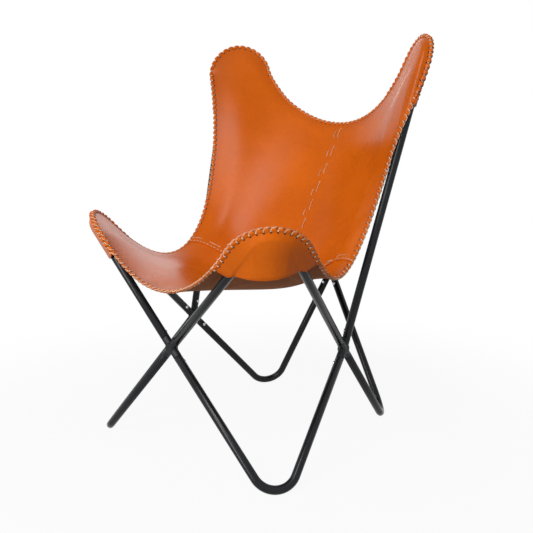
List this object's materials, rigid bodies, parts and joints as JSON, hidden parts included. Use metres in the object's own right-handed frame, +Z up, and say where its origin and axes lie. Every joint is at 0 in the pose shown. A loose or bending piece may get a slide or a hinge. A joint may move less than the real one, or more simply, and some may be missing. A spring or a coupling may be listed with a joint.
{
  "type": "butterfly sling chair",
  "caption": "Butterfly sling chair: a leather sling with laced edges and corner pockets hung on a knock-down frame of bent black steel tube with crossed legs.",
  "frame": {"origin": "on the floor under the middle of the chair's bounding box", "axes": "+Z up, the sitter faces -Y, +X is towards the sitter's left"},
  "size_m": [0.6374, 0.6466, 0.9316],
  "materials": {
    "black_tube": "satin black powder coat",
    "black_connector": "satin black powder coat on a cast cross",
    "screw_steel": "bright zinc-plated steel",
    "tan_leather": "semi-gloss cognac grain side, brown suede flesh side",
    "lacing_cord": "matt waxed cord"
  },
  "bodies": {
    "root": {"wing_loop_front_left": "black_tube", "wing_loop_front_right": "black_tube", "wing_loop_back_left": "black_tube", "wing_loop_back_right": "black_tube", "foot_loop_front_left": "black_tube", "foot_loop_front_right": "black_tube", "foot_loop_back_left": "black_tube", "foot_loop_back_right": "black_tube", "cross_connector_front": "black_connector", "cross_connector_back": "black_connector", "cross_connector_left": "black_connector", "cross_connector_right": "black_connector", "screw_front_wing_front_left": "screw_steel", "screw_front_foot_front_left": "screw_steel", "screw_front_wing_front_right": "screw_steel", "screw_front_foot_front_right": "screw_steel", "screw_back_wing_back_left": "screw_steel", "screw_back_foot_back_left": "screw_steel", "screw_back_wing_back_right": "screw_steel", "screw_back_foot_back_right": "screw_steel", "screw_left_wing_front_left": "screw_steel", "screw_left_foot_front_left": "screw_steel", "screw_left_wing_back_left": "screw_steel", "screw_left_foot_back_left": "screw_steel", "screw_right_wing_front_right": "screw_steel", "screw_right_foot_front_right": "screw_steel", "screw_right_wing_back_right": "screw_steel", "screw_right_foot_back_right": "screw_steel", "seat_panel": "tan_leather", "back_panel_left": "tan_leather", "back_panel_right": "tan_leather", "pocket_front_left": "tan_leather", "pocket_front_right": "tan_leather", "pocket_back_left": "tan_leather", "pocket_back_right": "tan_leather", "edge_lacing_front": "lacing_cord", "edge_lacing_back": "lacing_cord", "edge_lacing_left": "lacing_cord", "edge_lacing_right": "lacing_cord"}
  },
  "joints": []
}
